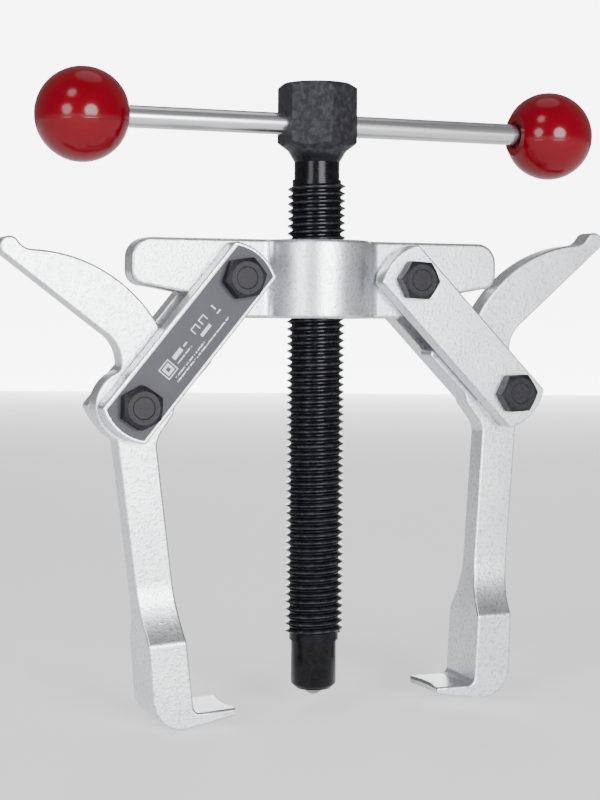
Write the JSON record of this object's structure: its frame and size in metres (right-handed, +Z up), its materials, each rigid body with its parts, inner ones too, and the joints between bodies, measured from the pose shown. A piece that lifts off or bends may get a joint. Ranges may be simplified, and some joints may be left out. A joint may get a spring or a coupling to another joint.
{
  "type": "gear puller",
  "caption": "Two-arm gear puller with linked forged hooks, a crossbeam and a hexagon-headed forcing screw turned by a sliding tommy bar with ball knobs.",
  "frame": {"origin": "on the forcing screw's axis, where the plain tip's chamfer begins, just above the thrust ball", "axes": "+Z up along the forcing screw towards its hexagon, +X along the crossbeam towards the right hook, +Y away from the label side"},
  "size_m": [0.1759, 0.0328, 0.1725],
  "materials": {
    "plated_steel": "satin zinc-plated forged steel",
    "black_steel": "black oxide steel, semi-gloss",
    "bright_steel": "bright drawn steel",
    "red_knob": "glossy moulded plastic",
    "label": "dark anodised sheet with pale marks"
  },
  "bodies": {
    "crossbeam": {"crossbeam": "plated_steel"},
    "thrust_ball": {"thrust_ball": "bright_steel"},
    "spindle": {"spindle": "black_steel"},
    "tommy": {"tommy_bar": "bright_steel", "ball_knob_left": "red_knob", "ball_knob_right": "red_knob"},
    "link_left": {"link_front_left": "plated_steel", "link_back_left": "plated_steel", "beam_bolt_left": "black_steel", "hook_bolt_left": "black_steel", "beam_nut_left": "bright_steel", "hook_nut_left": "bright_steel", "label_plate": "label"},
    "link_right": {"link_front_right": "plated_steel", "link_back_right": "plated_steel", "beam_bolt_right": "black_steel", "hook_bolt_right": "black_steel", "beam_nut_right": "bright_steel", "hook_nut_right": "bright_steel"},
    "hook_left": {"hook_left": "plated_steel"},
    "hook_right": {"hook_right": "plated_steel"}
  },
  "joints": [
    {"name": "spindle_feed", "type": "slide", "parent": "crossbeam", "child": "thrust_ball", "axis": [0, 0, 1], "range_m": [-0.0101, 0.0801]},
    {"name": "spindle_spin", "type": "hinge", "parent": "thrust_ball", "child": "spindle", "pos_m": [0, 0, 0], "axis": [0, 0, 1], "range_deg": [-1800, 14400]},
    {"name": "tommy_slide", "type": "slide", "parent": "spindle", "child": "tommy", "axis": [1, 0, 0], "range_m": [-0.05, 0.044]},
    {"name": "link_left_swing", "type": "hinge", "parent": "crossbeam", "child": "link_left", "pos_m": [-0.0252, 0, 0.1097], "axis": [0, 1, 0], "range_deg": [-17, 25]},
    {"name": "link_right_swing", "type": "hinge", "parent": "crossbeam", "child": "link_right", "pos_m": [0.0252, 0, 0.1097], "axis": [0, -1, 0], "range_deg": [-22, 20]},
    {"name": "hook_left_swing", "type": "hinge", "parent": "link_left", "child": "hook_left", "pos_m": [-0.05287, 0, 0.07613], "axis": [0, 1, 0], "range_deg": [-25.5, 17.5]},
    {"name": "hook_right_swing", "type": "hinge", "parent": "link_right", "child": "hook_right", "pos_m": [0.05569, 0, 0.07867], "axis": [0, -1, 0], "range_deg": [-20.5, 22.5]}
  ],
  "couplings": [
    {"joint": "spindle_feed", "follows": "spindle_spin", "m_per_rad": 0.00031831},
    {"joint": "hook_left_swing", "follows": "link_left_swing", "ratio": -1},
    {"joint": "hook_right_swing", "follows": "link_right_swing", "ratio": -1}
  ]
}
